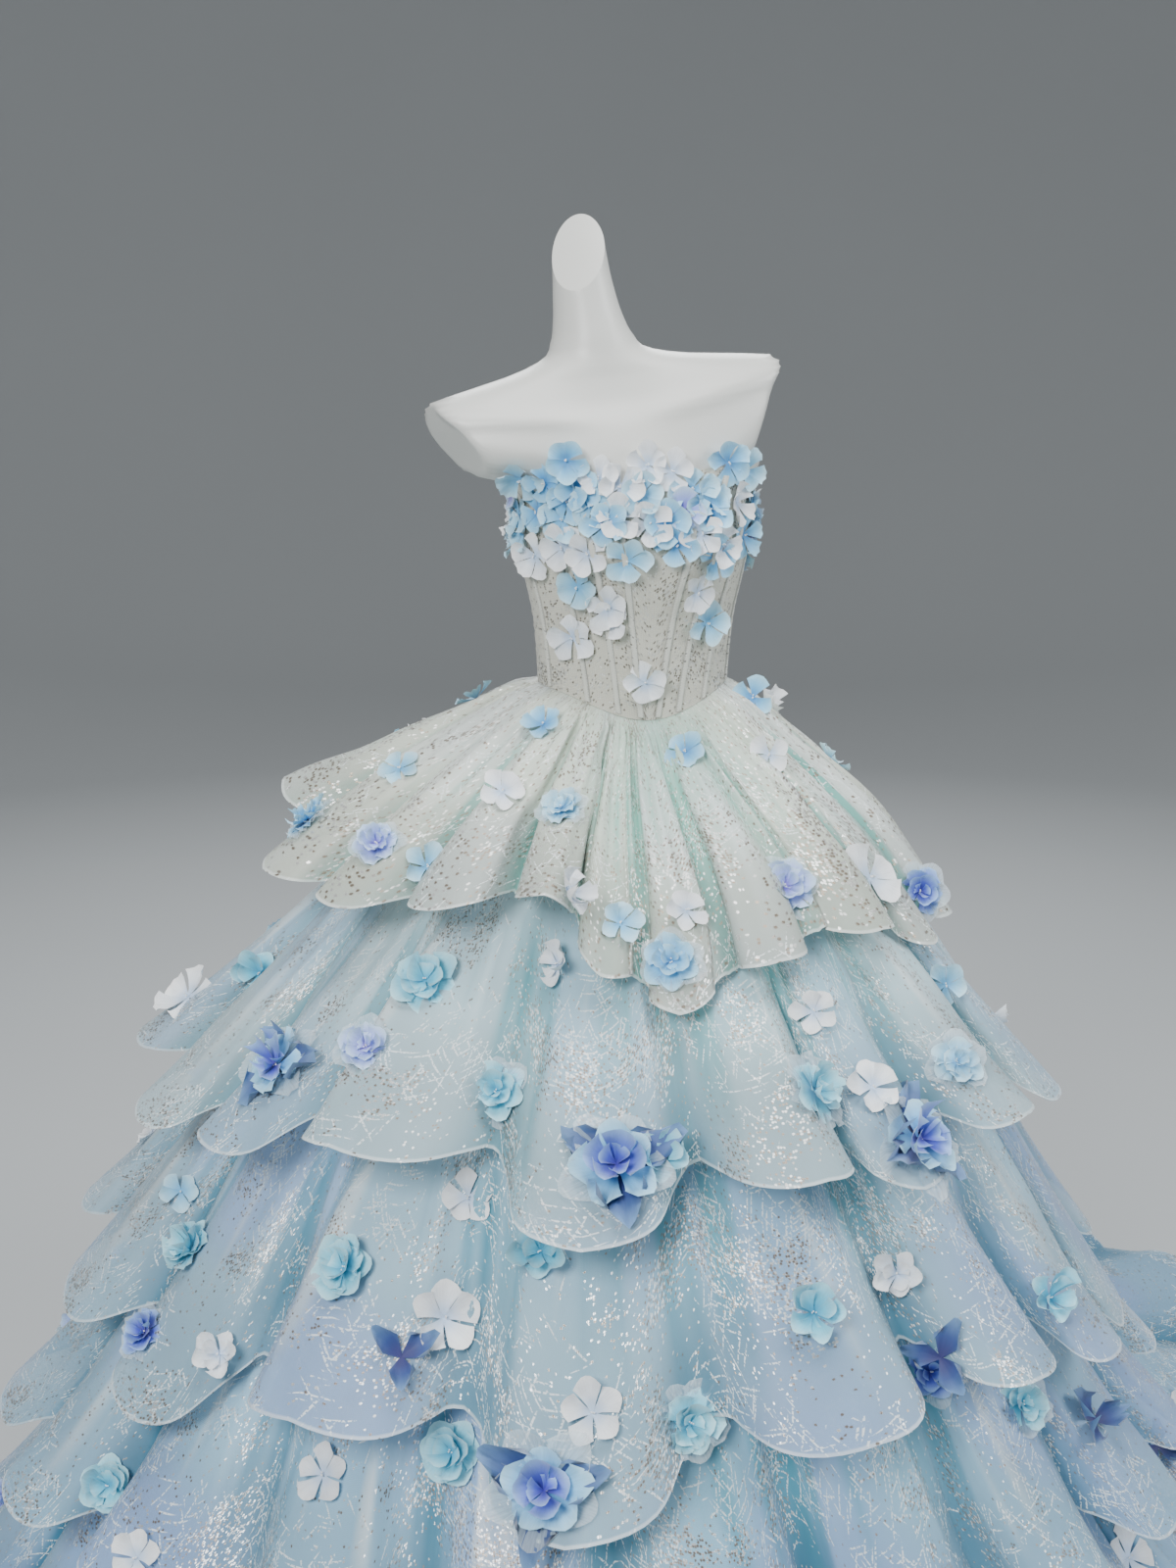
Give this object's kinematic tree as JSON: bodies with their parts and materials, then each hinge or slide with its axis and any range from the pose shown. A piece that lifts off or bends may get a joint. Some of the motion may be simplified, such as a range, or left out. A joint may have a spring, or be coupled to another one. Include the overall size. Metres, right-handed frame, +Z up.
{
  "type": "ball gown on a dress form",
  "caption": "Strapless boned ball gown with tiers of scalloped flounces and applied flowers, standing on an armless dress form.",
  "frame": {"origin": "centre of the underside of the form's round base, on the floor", "axes": "+Z up along the form's pole, the gown's front faces -Y, the wearer's left side is towards +X"},
  "size_m": [1.9011, 1.8269, 1.5868],
  "materials": {
    "bodice_cloth": "ivory glitter tulle over satin",
    "channel_cloth": "ivory satin channel",
    "flounce_mint": "ivory and mint foiled organza",
    "flounce_pale": "pale blue foiled organza",
    "flounce_blue": "light blue foiled organza",
    "lining_aqua": "aqua satin",
    "petal_blue": "dyed silk petals",
    "petal_white": "white silk petals",
    "form_white": "satin white glass-fibre",
    "steel": "brushed"
  },
  "bodies": {
    "root": {"bodice_front_centre": "bodice_cloth", "bodice_side_front_left": "bodice_cloth", "bodice_side_front_right": "bodice_cloth", "bodice_side_left": "bodice_cloth", "bodice_side_right": "bodice_cloth", "bodice_back_left": "bodice_cloth", "bodice_back_right": "bodice_cloth", "channel_inner_left": "channel_cloth", "channel_inner_right": "channel_cloth", "channel_middle_left": "channel_cloth", "channel_middle_right": "channel_cloth", "channel_outer_left": "channel_cloth", "channel_outer_right": "channel_cloth", "channel_side_left": "channel_cloth", "channel_side_right": "channel_cloth", "channel_back_left": "channel_cloth", "channel_back_right": "channel_cloth", "back_zip": "channel_cloth", "zip_slider": "steel", "underskirt_front": "lining_aqua", "underskirt_back": "lining_aqua", "flounce_1_front": "flounce_mint", "flounce_1_back": "flounce_mint", "flounce_2_front": "flounce_pale", "flounce_2_back": "flounce_pale", "flounce_3_front": "flounce_pale", "flounce_3_back": "flounce_pale", "flounce_4_front": "flounce_blue", "flounce_4_back": "flounce_blue", "flounce_5_front": "flounce_blue", "flounce_5_back": "flounce_blue", "form_torso": "form_white", "form_pole": "steel", "form_base": "form_white", "skirt_flower_01": "petal_blue", "skirt_flower_02": "petal_blue", "skirt_flower_03": "petal_blue", "skirt_flower_04": "petal_blue", "skirt_flower_05": "petal_blue", "skirt_flower_06": "petal_blue", "skirt_flower_07": "petal_blue", "skirt_flower_08": "petal_blue", "skirt_flower_09": "petal_blue", "skirt_flower_10": "petal_blue", "skirt_flower_11": "petal_blue", "skirt_flower_12": "petal_blue", "skirt_flower_13": "petal_blue", "skirt_flower_14": "petal_blue", "bodice_flower_01": "petal_blue", "bodice_flower_02": "petal_blue", "bodice_flower_03": "petal_white", "bodice_flower_04": "petal_blue", "bodice_flower_05": "petal_blue", "bodice_flower_06": "petal_white", "bodice_flower_07": "petal_blue", "bodice_flower_08": "petal_blue", "bodice_flower_09": "petal_white"}
  },
  "joints": []
}
